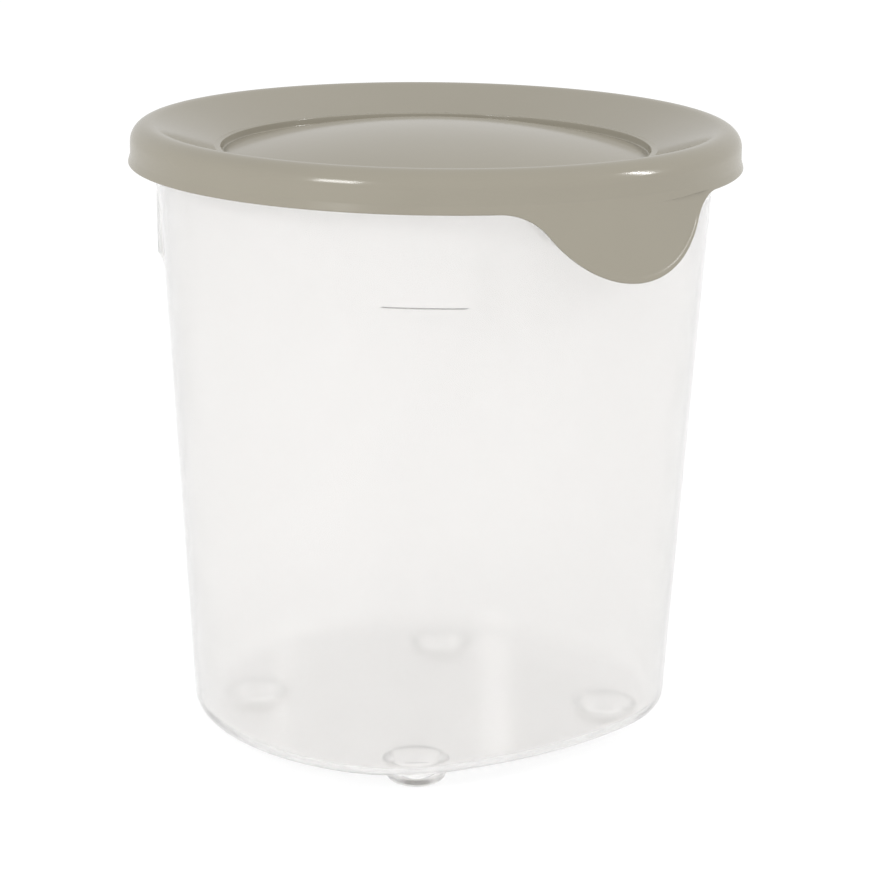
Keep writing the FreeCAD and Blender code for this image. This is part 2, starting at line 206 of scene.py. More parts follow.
@dataclass
class Skin:
    """The surface of one piece, gathered from patches whose edges share their points.

    Args:
        name: Name of the finished object.
        points: Points of each patch, in millimetres about the keeper's axis.
        faces: Corner numbers of every face.
        count: How many points there are so far.
    """

    name: str
    points: list[np.ndarray] = field(default_factory=list)
    faces: list[list[int]] = field(default_factory=list)
    count: int = 0

    def add_rings(self, rings: np.ndarray) -> None:
        """Add a grid that closes round its columns, one quad between each two stations and columns.

        Args:
            rings: Points of shape (stations, columns, 3).
        """
        stations, columns, _ = rings.shape
        index = np.arange(stations * columns).reshape(stations, columns) + self.count
        ahead = np.roll(index, -1, axis=1)
        quads = np.stack([index[:-1], ahead[:-1], ahead[1:], index[1:]], axis=-1).reshape(-1, 4)
        self.faces.extend(quads.tolist())
        self.points.append(rings.reshape(-1, 3))
        self.count += stations * columns

    def add_plate(self, outline: np.ndarray, holes: list[np.ndarray], height: float) -> None:
        """Add a flat face with round holes, as triangles between the outline's and the holes' own points.

        Args:
            outline: X and Y round the plate.
            holes: X and Y round each hole.
            height: Level of the plate.
        """
        loops = [outline, *holes]
        starts = np.cumsum([0] + [len(loop) for loop in loops])
        plan = np.vstack(loops)
        index = [np.arange(first, last) for first, last in zip(starts[:-1], starts[1:])]
        edges = np.vstack([np.stack([ring, np.roll(ring, -1)], axis=1) for ring in index])
        found = delaunay_2d_cdt([Vector(point) for point in plan.tolist()], edges.tolist(), [], 1, WELD)
        spots = np.array([tuple(point) for point in found[0]])
        triangles = np.array(found[2])
        middle = spots[triangles].mean(axis=1)
        keep = np.ones(len(triangles), bool)
        for hole in holes:
            centre = hole.mean(axis=0)
            reach = np.linalg.norm(hole - centre, axis=1).max()
            keep &= np.linalg.norm(middle - centre, axis=1) > reach * math.cos(math.pi / len(hole))
        self.faces.extend((triangles[keep] + self.count).tolist())
        self.points.append(np.column_stack([spots, np.full(len(spots), height)]))
        self.count += len(spots)

    def build(self) -> bpy.types.Object:
        """Weld the patches, turn all faces outwards and make the object.

        Returns:
            The object, at the origin, with its place in its mesh.
        """
        places = np.vstack(self.points) + np.array([0, AXIS_Y, 0])
        mesh = bpy.data.meshes.new(self.name)
        mesh.from_pydata((places * MM).tolist(), [], self.faces)
        work = bmesh.new()
        work.from_mesh(mesh)
        bmesh.ops.remove_doubles(work, verts=work.verts, dist=WELD)
        bmesh.ops.dissolve_degenerate(work, edges=work.edges, dist=WELD)
        bmesh.ops.recalc_face_normals(work, faces=work.faces)
        open_edges = sum(1 for edge in work.edges if len(edge.link_faces) != 2)
        LOG.info("%s: %d faces, %d open edges, %.1f ml", self.name, len(work.faces), open_edges,
                 work.calc_volume(signed=True) * 1e6)
        work.to_mesh(mesh)
        work.free()
        mesh.set_sharp_from_angle(angle=SHARP)
        normals = np.empty(len(mesh.polygons) * 3)
        mesh.polygons.foreach_get("normal", normals)
        mesh.polygons.foreach_set("use_smooth", np.abs(normals.reshape(-1, 3)[:, 2]) < LEVEL)
        piece = bpy.data.objects.new(self.name, mesh)
        bpy.context.scene.collection.objects.link(piece)
        return piece


@dataclass(frozen=True)
class TubPlastic:
    """Natural polypropylene, moulded against a polished tool.

    It is clear enough to show the floor and the far wall through the near one, but crystals in it scatter
    part of the light, which gives a milky, slightly warm haze under a glossy skin.

    Args:
        colour: Tint of the light that it lets through and scatters.
        clear: Share of the light that passes instead of being scattered.
        blur: Roughness of what is seen through it.
        blur_drift: Share by which that roughness drifts along the wall.
        gloss: Share of the polished skin's reflection.
        gloss_blur: Roughness of that reflection.
        bend: Index of refraction.
        ripple_mm: Size of the shallow waves that moulding leaves in the wall.
        ripple_depth_mm: Depth of those waves.
    """

    colour: str = "#FEFDFC"
    clear: float = 0.86
    blur: float = 0.125
    blur_drift: float = 0.15
    gloss: float = 0.5
    gloss_blur: float = 0.06
    bend: float = 1.49
    ripple_mm: float = 14.0
    ripple_depth_mm: float = 0.02

    def build(self) -> bpy.types.Material:
        """Make the material.

        Returns:
            The material.
        """
        material = new_material("natural_polypropylene")
        tree = material.node_tree
        place = add_node(tree, "ShaderNodeTexCoord")
        waves = add_node(tree, "ShaderNodeTexNoise", {"Scale": 1 / (self.ripple_mm * MM), "Detail": 2.0},
                         {"Vector": (place, "Object")})
        bump = add_node(tree, "ShaderNodeBump", {"Strength": 1.0, "Distance": self.ripple_depth_mm * MM},
                        {"Height": (waves, "Fac")})
        haze = add_node(tree, "ShaderNodeMapRange", {
            **NOISE_RANGE, "To Min": self.blur * (1 - self.blur_drift),
            "To Max": self.blur * (1 + self.blur_drift),
        }, {"Value": (waves, "Fac")})
        skin = add_node(tree, "ShaderNodeBsdfPrincipled", {
            "Base Color": linear(self.colour), "IOR": self.bend, "Transmission Weight": self.clear,
            "Coat Weight": self.gloss, "Coat Roughness": self.gloss_blur, "Coat IOR": self.bend,
        }, {"Roughness": (haze, "Result"), "Normal": (bump, "Normal")})
        add_node(tree, "ShaderNodeOutputMaterial", {}, {"Surface": (skin, "BSDF")})
        return material


@dataclass(frozen=True)
class LidPlastic:
    """Opaque polyethylene, moulded with a fine satin skin.

    The pigment hides the light in it, and the skin gives broad, soft reflections with a faint grain in them.

    Args:
        colour: Pigment.
        shade: Pigment where the melt flowed a little thinner.
        gloss: Share of the skin's reflection.
        blur: Roughness of that reflection.
        blur_drift: Share by which that roughness drifts with the grain.
        bend: Index of refraction of the skin.
        pigment_blur: Roughness of the pigment under the skin.
        grain_mm: Size of the skin's grain, drawn coarser than the real one so that it shows.
        grain_depth_mm: Depth of the grain.
        flow_mm: Size of the drifts in the pigment.
    """

    colour: str = "#938E81"
    shade: str = "#8F8A7D"
    gloss: float = 0.62
    blur: float = 0.14
    blur_drift: float = 0.1
    bend: float = 1.5
    pigment_blur: float = 0.6
    grain_mm: float = 1.2
    grain_depth_mm: float = 0.001
    flow_mm: float = 30.0

    def build(self) -> bpy.types.Material:
        """Make the material.

        Returns:
            The material.
        """
        material = new_material("satin_polyethylene")
        tree = material.node_tree
        place = add_node(tree, "ShaderNodeTexCoord")
        grain = add_node(tree, "ShaderNodeTexNoise", {"Scale": 1 / (self.grain_mm * MM), "Detail": 3.0},
                         {"Vector": (place, "Object")})
        flow = add_node(tree, "ShaderNodeTexNoise", {"Scale": 1 / (self.flow_mm * MM), "Detail": 2.0},
                        {"Vector": (place, "Object")})
        pigment = add_node(tree, "ShaderNodeMix", {"data_type": "RGBA"}, {"Factor": (flow, "Fac")})
        # The mix node has several sockets of one name, so its colours go by number
        pigment.inputs[6].default_value = linear(self.colour)
        pigment.inputs[7].default_value = linear(self.shade)
        bump = add_node(tree, "ShaderNodeBump", {"Strength": 1.0, "Distance": self.grain_depth_mm * MM},
                        {"Height": (grain, "Fac")})
        sheen = add_node(tree, "ShaderNodeMapRange", {
            **NOISE_RANGE, "To Min": self.blur * (1 - self.blur_drift),
            "To Max": self.blur * (1 + self.blur_drift),
        }, {"Value": (grain, "Fac")})
        skin = add_node(tree, "ShaderNodeBsdfPrincipled", {
            "Roughness": self.pigment_blur, "Specular IOR Level": 0.0,
            "Coat Weight": self.gloss, "Coat IOR": self.bend,
        }, {"Coat Roughness": (sheen, "Result"), "Coat Normal": (bump, "Normal")})
        tree.links.new(pigment.outputs[2], skin.inputs["Base Color"])
        add_node(tree, "ShaderNodeOutputMaterial", {}, {"Surface": (skin, "BSDF")})
        return material


@dataclass
class NestingStop:
    """A pad high on the wall that carries a tub pushed into another one.

    Args:
        bearing: Middle of the pad in degrees.
        width: Angle that it takes up.
        fade_low: Angle over which it fades out towards lower bearings.
        fade_high: Angle over which it fades out towards higher bearings.
    """

    bearing: float
    width: float
    fade_low: float
    fade_high: float

    def window(self, bearings: np.ndarray) -> np.ndarray:
        """How far the pad has risen at each bearing, from 0 off its ends to 1 along it.

        Args:
            bearings: Bearings in degrees.

        Returns:
            Shares from 0 to 1.
        """
        away = (bearings - self.bearing + 180) % 360 - 180
        low = smooth((away + self.width / 2) / self.fade_low)
        high = smooth((self.width / 2 - away) / self.fade_high)
        return low * high


@dataclass
class Tub:
    """The tub: a tapered wall with a flattened front, a floor, a rolled rim, nesting stops and four feet.

    Lengths are in millimetres and angles in degrees.
    """

    # Levels and thickness
    base_level: float = 5.5
    floor_level: float = 7.1
    bead_level: float = 182.65
    wall: float = 1.4
    # Plan of the base: a round back, a flattened front and the corners between them
    base_radius: float = 73.0
    panel_depth: float = 10.5
    panel_radius: float = 145.0
    corner_radius: float = 45.0
    base_round: float = 6.0
    floor_round: float = 5.0
    # Mouth and rolled rim, with the rim's small edges in order from the wall outwards
    mouth_radius: float = 83.6
    mouth_panel: float = 30.0
    mouth_corner: float = 60.0
    rim_radius: float = 89.25
    rim_drop: float = 3.0
    bead_round: float = 3.65
    channel_angle: float = 21.0
    rim_rounds: tuple[float, ...] = (0.5, 0.5, 0.4, 0.7)
    mouth_round: float = 0.4
    # Nesting stops
    stop_stand: float = 1.7
    stop_draft: float = 0.4
    stop_drop: float = 33.75
    stop_shoulder: float = 5.5
    stop_ledge: float = 0.3
    stop_tail: float = 5.0
    stop_blend: float = 0.4
    # Feet and the hollows in them
    foot_reach: float = 54.5
    foot_bearing: float = -40.0
    foot_top: float = 9.9
    foot_tip: float = 8.4
    foot_round: float = 2.8
    hollow_reach: float = 9.4
    hollow_slope: float = 8.6
    hollow_depth: float = 4.8
    # Spacing of the grid, which is closer at the stops' ends and shoulders
    column_step: float = 1.2
    end_spread: float = 2.0
    end_columns: int = 17
    first_ring: float = 14.0
    even_rings: int = 44
    bend_rings: int = 10
    shoulder_rings: int = 23
    shoulder_over: float = 0.8
    hollow_rings: int = 24
    foot_points: int = 96
    finish: TubPlastic = TubPlastic()
    stops: tuple[NestingStop, ...] = (
        NestingStop(-37.7, 30.5, 8.0, 8.0), NestingStop(-130.0, 26.0, 5.0, 5.0),
        NestingStop(96.0, 20.0, 4.0, 4.0))

    def __post_init__(self) -> None:
        """Work out the plan of the base and the columns of the wall's grid."""
        self.panel_centre = self.panel_radius + self.panel_depth - self.base_radius
        to_panel = self.panel_radius - self.corner_radius
        to_round = self.base_radius - self.corner_radius
        self.ahead = (to_panel ** 2 - to_round ** 2 - self.panel_centre ** 2) / (2 * self.panel_centre)
        self.aside = math.sqrt(to_round ** 2 - self.ahead ** 2)
        self.panel_end = math.degrees(math.asin(self.aside / to_panel))
        self.corner_end = math.degrees(math.acos(self.ahead / to_round))
        ends = np.array([stop.bearing + side * stop.width / 2 for stop in self.stops for side in (-1, 1)])
        spread = np.linspace(-self.end_spread, self.end_spread, self.end_columns)
        near = (ends[:, None] + spread[None, :]).ravel()
        even = np.arange(-180, 180, self.column_step)
        self.bearings = np.unique(np.round(np.concatenate([even, near]), 4))

    def facing(self) -> np.ndarray:
        """Direction that the base's outline faces at each column.

        The mouth's bearings from 0 to the panel's edge, on to the corner's edge and on to the back run evenly
        along the base's panel, corner and round arcs.

        Returns:
            Angles in degrees.
        """
        mouth = np.abs(self.bearings)
        angle = np.interp(mouth, [0, self.mouth_panel, self.mouth_corner, 180],
                          [0, self.panel_end, self.corner_end, 180])
        return np.copysign(angle, self.bearings)

    def base_plan(self, inset: float) -> np.ndarray:
        """Outline of the base: an arc's centre plus its radius along the direction that the outline faces.

        Args:
            inset: Distance inside the outer outline.

        Returns:
            X and Y of each column.
        """
        face = self.facing()
        side = np.sign(face)
        panel = np.abs(face) <= self.panel_end
        corner = ~panel & (np.abs(face) <= self.corner_end)
        radius = np.select([panel, corner], [self.panel_radius, self.corner_radius], self.base_radius)
        centre_x = np.where(corner, self.aside * side, 0.0)
        centre_y = np.select([panel, corner], [self.panel_centre, -self.ahead], 0.0)
        return np.stack([centre_x, centre_y], axis=1) + on_bearing(radius - inset, face)

    def wall_rings(self, level: float, inset: float, radius: float, heights: np.ndarray) -> np.ndarray:
        """One side of the wall, from the edge of the flat base over its rounding and up to the mouth.

        The wall is ruled: a column runs straight from the base's outline to the mouth's circle. Where it
        leans out by the angle q, the rounding of radius r starts r tan(45 - q/2) inside the outline and turns
        by 90 - q.

        Args:
            level: Height of the flat base.
            inset: Distance inside the outer wall.
            radius: Rounding at the base.
            heights: Levels of the rings above the rounding.

        Returns:
            Points of shape (stations, columns, 3).
        """
        base = self.base_plan(inset)
        run = on_bearing(np.array(self.mouth_radius - inset), self.bearings) - base
        rise = self.bead_level - level
        face = np.radians(self.facing())
        out = np.stack([np.sin(face), -np.cos(face)], axis=1)
        along = np.stack([np.cos(face), np.sin(face)], axis=1)
        lean = np.arctan((run * out).sum(axis=1) / rise)
        drift = (run * along).sum(axis=1) / rise
        turn = np.linspace(0, 1, self.bend_rings)[:, None] * (math.pi / 2 - lean)[None, :]
        reach = radius * (np.sin(turn) - np.tan(math.pi / 4 - lean / 2)[None, :])
        lift = radius * (1 - np.cos(turn))
        bend = base[None] + reach[..., None] * out[None] + (lift * drift[None])[..., None] * along[None]
        bend = np.concatenate([bend, (level + lift)[..., None]], axis=-1)
        share = (heights - level) / rise
        plan = base[None] + share[:, None, None] * run[None]
        levels = np.broadcast_to(heights[:, None, None], (*plan.shape[:2], 1))
        return np.concatenate([bend, np.concatenate([plan, levels], axis=-1)])

    def raise_stops(self, rings: np.ndarray, inset: float) -> np.ndarray:
        """Push one side of the wall out to the nesting stops, which are as thick as the wall.

        A stop's face is a cone from stop_stand outside the round wall at its lower edge, with a sloping
        shoulder under it that runs on down into the wall. The wall's radius grows by the stop's window times
        (d + sqrt(d^2 + w^2)) / 2, where d is what it lacks to that cone and w is stop_blend, so that the
        shoulder leaves the wall in a soft bend.

        Args:
            rings: Points of that side of the wall.
            inset: Its distance inside the outer wall.

        Returns:
            The same points, with the stops standing proud.
        """
        lean = (self.mouth_radius - self.base_radius) / (self.bead_level - self.base_level)
        edge = self.bead_level - self.stop_drop
        foot = edge - self.stop_shoulder
        top = self.bead_level - self.rim_drop
        face = self.mouth_radius - self.stop_drop * lean + self.stop_stand
        root = self.mouth_radius - (self.bead_level - foot) * lean - self.wall / 2
        fall = self.stop_tail * (face - self.stop_ledge - root) / (self.stop_shoulder - self.stop_ledge)
        tail = foot - self.stop_tail
        height = rings[..., 2]
        cone = np.interp(height, [tail - 1, tail, edge - self.stop_ledge, edge, top, top + 1],
                         [0, root - fall, face - self.stop_ledge, face, face + self.stop_draft, 0])
        radius = np.hypot(rings[..., 0], rings[..., 1])
        bearing = np.degrees(np.arctan2(rings[..., 0], -rings[..., 1]))
        window = np.max([stop.window(bearing) for stop in self.stops], axis=0)
        lack = cone - inset - radius
        grown = radius + np.where(cone > 0, window * (lack + np.hypot(lack, self.stop_blend)) / 2, 0)
        raised = rings.copy()
        raised[..., :2] *= (grown / radius)[..., None]
        return raised

    def rim_rings(self) -> np.ndarray:
        """The rolled rim: out under the bead, round the turned edge, over the bead and into the mouth.

        Returns:
            Points of shape (stations, columns, 3).
        """
        slope = math.radians(self.channel_angle)
        inside = self.mouth_radius - self.wall
        skirt = self.rim_radius - self.wall
        low = self.bead_level - self.rim_drop
        bead = self.rim_radius - self.bead_round
        crown = self.bead_level + self.bead_round * math.cos(slope) + (
            self.rim_radius - bead + self.bead_round * math.sin(slope)) * math.tan(slope)
        lip = crown - (self.rim_radius - inside) * math.tan(slope)
        under = lip - self.wall
        corners = np.array([
            (self.mouth_radius, self.bead_level), (self.mouth_radius, under), (skirt, under), (skirt, low),
            (self.rim_radius, low), (self.rim_radius, crown), (inside, lip), (inside, self.bead_level)])
        profile = rounded(corners, np.array([*self.rim_rounds, self.bead_round, self.mouth_round]))
        return turned(profile, self.bearings)

    def foot_spots(self) -> np.ndarray:
        """Middles of the four feet, a quarter turn apart."""
        return on_bearing(np.array(self.foot_reach), self.foot_bearing + np.arange(4) * 90)

    def cup(self, spot: np.ndarray, profile: np.ndarray) -> np.ndarray:
        """Turn a foot's profile about its own middle.

        Args:
            spot: Middle of the foot.
            profile: Radius and height of each station.

        Returns:
            Points of shape (stations, columns, 3).
        """
        around = np.arange(self.foot_points) * 360 / self.foot_points
        rings = turned(profile, around)
        rings[..., :2] += spot
        return rings

    def build(self) -> bpy.types.Object:
        """Make the tub's object and dress it.

        Returns:
            The tub.
        """
        skin = Skin("tub_shell")
        edge = self.bead_level - self.stop_drop
        low = edge - self.stop_shoulder - self.stop_tail
        shoulder = np.linspace(low, edge + self.shoulder_over, self.shoulder_rings)
        ledge = [edge - self.stop_ledge, edge]
        even = np.linspace(self.first_ring, self.bead_level, self.even_rings)
        heights = np.unique(np.concatenate([even, shoulder, ledge]))
        outer = self.raise_stops(self.wall_rings(self.base_level, 0.0, self.base_round, heights), 0.0)
        lining = self.wall_rings(self.floor_level, self.wall, self.floor_round, heights)
        inner = self.raise_stops(lining, self.wall)
        skin.add_rings(np.concatenate([outer, self.rim_rings(), inner[::-1]]))
        outside = rounded(np.array([(self.foot_top, self.base_level), (self.foot_tip, 0), (0, 0)]),
                          np.array([self.foot_round]))
        reach = np.linspace(self.hollow_reach, 0, self.hollow_rings)
        dip = self.hollow_depth * smooth((self.hollow_reach - reach) / self.hollow_slope)
        hollow = np.column_stack([reach, self.floor_level - dip])
        spots = self.foot_spots()
        outer_cups = [self.cup(spot, outside) for spot in spots]
        inner_cups = [self.cup(spot, hollow) for spot in spots]
        for cup in outer_cups + inner_cups:
            skin.add_rings(cup)
        skin.add_plate(outer[0, :, :2], [cup[0, :, :2] for cup in outer_cups], self.base_level)
        skin.add_plate(inner[0, :, :2], [cup[0, :, :2] for cup in inner_cups], self.floor_level)
        piece = skin.build()
        piece.data.materials.append(self.finish.build())
        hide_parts(Body.TUB.value)
        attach(piece, Body.TUB.value)
        return piece


@dataclass
class Lid:
    """The lid: brim with a flared lip, crest, channel, level ring, stepped dome, sealing lip and thumb tab.

    Lengths are in millimetres and angles in degrees.
    """

    # Brim and crest
    bead_level: float = 182.65
    brim_inside: float = 89.55
    wall: float = 1.6
    bead_circle: float = 85.6
    crest_inside: float = 3.95
    brim_height: float = 11.9
    lip_height: float = 2.7
    lip_flare: float = 0.75
    channel_angle: float = 21.0
    # Disc, the step up from it and the level ring round it
    disc_radius: float = 64.0
    disc_crown: float = 8.0
    land_width: float = 1.9
    step_height: float = 2.3
    step_run: float = 0.3
    step_round: float = 0.6
    land_round: float = 0.4
    under_steepness: float = 3.0
    # Sealing lip, and the small edges of the lower surface in order from the disc outwards
    plug_outside: float = 81.9
    plug_wall: float = 1.2
    plug_depth: float = 5.5
    plug_taper: float = 0.6
    under_rounds: tuple[float, ...] = (0.6, 0.6, 0.5, 0.4, 0.4, 0.3)
    # Thumb tab
    tab_drop: float = 20.5
    tab_flare: float = 6.0
    tab_round: float = 32.0
    tab_root: float = 15.0
    edge_round: float = 0.45
    crease_rise: float = 0.8
    ledge_depth: float = 0.5
    panel_sink: float = 0.07
    panel_margin: float = 0.9
    # Where the tab's ledge and sunk face begin, and how far they take to fade in
    ledge_start: float = 4.0
    ledge_ease: float = 12.0
    ledge_fade: float = 3.0
    relief_start: float = 0.025
    relief_ease: float = 0.02
    panel_ease: float = 0.3
    panel_fade: float = 8.0
    margin_ease: float = 0.5
    # Spacing of the grid, which is closer at the tab
    front_end: float = 32.0
    front_step: float = 0.4
    back_step: float = 1.5
    gap_step: float = 1.0
    arc_points: int = 14
    point_spacing: float = 4.0
    lip_rings: int = 7
    edge_rings: int = 6
    tab_passes: int = 6
    finish: LidPlastic = LidPlastic()

    def __post_init__(self) -> None:
        """Work out the levels and the columns of the lid's grid."""
        self.brim_outside = self.brim_inside + self.wall
        self.crest_outside = self.crest_inside + self.wall
        self.lip_edge = self.bead_level + self.crest_outside - self.brim_height
        self.lip_outside = self.brim_outside + self.lip_flare
        self.lip_top = self.lip_edge + self.lip_height
        start = self.front_end + self.gap_step
        front = np.arange(-self.front_end, self.front_end + self.front_step / 2, self.front_step)
        back = np.arange(start, 360 - start + self.back_step / 2, self.back_step)
        self.bearings = np.concatenate([front, back])

    def slope(self, radius: float, reach: float) -> float:
        """Height of the channel's surface that is tangent to the crest's arc.

        Args:
            radius: Radius of the crest's arc.
            reach: Distance from the axis.

        Returns:
            Height in millimetres.
        """
        angle = math.radians(self.channel_angle)
        start = self.bead_circle - radius * math.sin(angle)
        return self.bead_level + radius * math.cos(angle) - (start - reach) * math.tan(angle)

    def domed(self, profile: np.ndarray, edge: float) -> np.ndarray:
        """Raise a flat disc into a dome: z grows by the crown times 1 - (r / edge)^2 inside the edge.

        Args:
            profile: Radius and height of each station.
            edge: Radius of the disc.

        Returns:
            The domed profile.
        """
        lift = self.disc_crown * np.clip(1 - (profile[:, 0] / edge) ** 2, 0, None)
        return np.column_stack([profile[:, 0], profile[:, 1] + lift])

    def top_profile(self) -> np.ndarray:
        """Upper surface from the brim's lip over the crest, down the channel and the step to the middle.

        Returns:
            Radius and height of each station.
        """
        step = self.disc_radius + self.step_run
        land = step + self.land_width
        height = self.slope(self.crest_outside, land)
        disc = height - self.step_height
        crest = self.slope(self.crest_outside, self.brim_outside)
        corners = np.array([
            (self.brim_outside, self.lip_top), (self.brim_outside, crest), (land, height), (step, height),
            (self.disc_radius, disc), (0, disc)])
        radii = np.array([self.crest_outside, self.land_round, self.land_round, self.step_round])
        profile = rounded(corners, radii, self.arc_points)
        return self.domed(resampled(profile, self.point_spacing), self.disc_radius)

    def under_profile(self) -> np.ndarray:
        """Lower surface from the middle out over the step and the sealing lip to the inside of the brim.

        Returns:
            Radius and height of each station.
        """
        land = self.disc_radius + self.step_run + self.land_width
        under = self.disc_radius + self.wall
        top = under + self.step_height / self.under_steepness
        disc = self.slope(self.crest_outside, land) - self.step_height - self.wall
        inside = self.plug_outside - self.plug_wall
        foot = self.plug_outside - self.plug_taper
        low = self.bead_level - self.plug_depth
        crest = self.slope(self.crest_inside, self.brim_inside)
        corners = np.array([
            (0, disc), (under, disc), (top, self.slope(self.crest_inside, top)),
            (inside, self.slope(self.crest_inside, inside)), (foot - self.plug_wall, low), (foot, low),
            (self.plug_outside, self.slope(self.crest_inside, self.plug_outside)),
            (self.brim_inside, crest), (self.brim_inside, self.lip_top)])
        radii = np.array([*self.under_rounds, self.crest_inside])
        return self.domed(resampled(rounded(corners, radii), self.point_spacing), under)

    def tab_reach(self) -> np.ndarray:
        """How far the lower edge drops below the lip at each bearing.

        Seen from the front, the tab is the lower part of a circle of tab_round whose sides run into the lip
        through arcs of tab_root. With x = r sin b, the drop is sqrt(R^2 - x^2) less the circle's height above
        the lip on the first, and q - sqrt(q^2 - (e - |x|)^2) on the second, where they meet the lip at x = e.
        The tab leans out, so r depends on the drop, and a few passes settle both.

        Returns:
            Drops in millimetres.
        """
        lift = self.tab_round - self.tab_drop
        spread = self.tab_round + self.tab_root
        end = math.sqrt(spread ** 2 - (lift + self.tab_root) ** 2)
        meet = end * self.tab_round / spread
        drop = np.zeros_like(self.bearings)
        turn = np.radians(self.bearings)
        for _ in range(self.tab_passes):
            aside = np.abs((self.lip_outside + drop * self.tab_flare / self.tab_drop) * np.sin(turn))
            tip = np.sqrt(np.clip(self.tab_round ** 2 - aside ** 2, 0, None)) - lift
            root = self.tab_root - np.sqrt(np.clip(self.tab_root ** 2 - (end - aside) ** 2, 0, None))
            drop = np.where(aside < meet, tip, np.where(aside < end, root, 0.0))
            drop = np.where(np.cos(turn) > 0, drop, 0.0)
        return drop

    def skirt_radius(self, height: np.ndarray) -> np.ndarray:
        """Outside of the lip and the tab at a height: the lip flares, and the tab leans out below it.

        Args:
            height: Heights in millimetres.

        Returns:
            Radii in millimetres.
        """
        flare = self.lip_flare / self.lip_height
        lean = self.tab_flare / self.tab_drop
        lip = self.brim_outside + flare * (self.lip_top - height)
        return np.where(height > self.lip_edge, lip, self.lip_outside + lean * (self.lip_edge - height))

    def tab_relief(self, share: np.ndarray, reach: np.ndarray) -> np.ndarray:
        """How far the tab's face lies behind its plain lean.

        The lip ends in a small ledge over the tab's right half, which fades out towards the tip. The face is
        sunk a little inside a narrow rim along the lower edge, and both fade out with the tab's reach.

        Args:
            share: Place down the tab, from 0 at the lip to 1 at the lower edge.
            reach: How far the tab drops at each bearing.

        Returns:
            Depths in millimetres.
        """
        right = smooth((self.bearings - self.ledge_start) / self.ledge_ease)
        ledge = right * np.where(np.abs(self.bearings) < 90, 1, 0) * smooth(reach / self.ledge_fade)
        below = share - self.relief_start
        under_lip = smooth(below / self.relief_ease) * (1 - share)
        margin = (1 - share) * reach[None]
        sunk = smooth((margin - self.panel_margin) / self.margin_ease) * smooth(below / self.panel_ease)
        sunk = sunk * smooth(reach / self.panel_fade)
        return self.ledge_depth * under_lip * ledge[None] + self.panel_sink * sunk

    def skirt_rings(self) -> np.ndarray:
        """The lip and the tab: down the inside, round the lower edge and up the outside of each column.

        Returns:
            Points of shape (stations, columns, 3).
        """
        crease = self.lip_edge + self.crease_rise
        reach = self.tab_reach()
        edge = self.lip_edge - reach + self.edge_round
        upper = np.linspace(self.lip_top, crease, self.lip_rings)[:-1, None] + np.zeros_like(edge)[None]
        # The rings lie close together under the ledge and along the lower edge
        share = np.concatenate([[0, 0.02, 0.03, 0.04, 0.05, 0.06], np.linspace(0.1, 0.85, 9),
                                np.linspace(0.87, 1, 9)])[:, None]
        height = np.concatenate([upper, crease + share * (edge - crease)[None]])
        outside = self.skirt_radius(height)
        outside[len(upper):] -= self.tab_relief(share, reach)
        turn = np.linspace(0, math.pi / 2, self.edge_rings)[1:, None]
        curl = self.edge_round * (1 - np.cos(turn))
        drop = self.edge_round * np.sin(turn)
        low = edge[None] - drop
        outer_edge = self.skirt_radius(edge)[None] - curl
        inner_edge = self.skirt_radius(edge)[None] - self.wall + curl
        radius = np.concatenate([outside - self.wall, inner_edge, outer_edge[::-1], outside[::-1]])
        levels = np.concatenate([height, low, low[::-1], height[::-1]])
        return np.concatenate([on_bearing(radius, self.bearings[None, :]), levels[..., None]], axis=-1)

    def build(self) -> bpy.types.Object:
        """Make the lid's object and dress it.

        Returns:
            The lid.
        """
        skin = Skin("lid_shell")
        under = turned(self.under_profile(), self.bearings)
        upper = turned(self.top_profile(), self.bearings)
        skin.add_rings(np.concatenate([under[:-1], self.skirt_rings(), upper[1:]]))
        piece = skin.build()
        piece.data.materials.append(self.finish.build())
        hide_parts(Body.LID.value)
        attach(piece, Body.LID.value)
        return piece


@dataclass(frozen=True)
class Softbox:
    """A rectangular lamp that faces the keeper.

    Args:
        name: Name of the lamp.
        bearing: Direction from the keeper, in degrees from the front.
        elevation: Height above the horizon, in degrees.
        distance: Distance from the keeper's middle, in metres.
        width: Width in metres.
        height: Height in metres.
        power: Power in watts.
    """

    name: str
    bearing: float
    elevation: float
    distance: float
    width: float
    height: float
    power: float

    def build(self, aim: Vector) -> bpy.types.Object:
        """Hang the lamp and turn it to the aim.

        Args:
            aim: Point that it faces.

        Returns:
            The lamp.
        """
        lamp = bpy.data.lights.new(self.name, "AREA")
        lamp.shape = "RECTANGLE"
        lamp.size = self.width
        lamp.size_y = self.height
        lamp.energy = self.power
        turn, lift = math.radians(self.bearing), math.radians(self.elevation)
        away = Vector((math.sin(turn) * math.cos(lift), -math.cos(turn) * math.cos(lift), math.sin(lift)))
        holder = bpy.data.objects.new(self.name, lamp)
        holder.location = aim + away * self.distance
        holder.rotation_euler = (-away).to_track_quat("-Z", "Y").to_euler()
        bpy.context.scene.collection.objects.link(holder)
        return holder


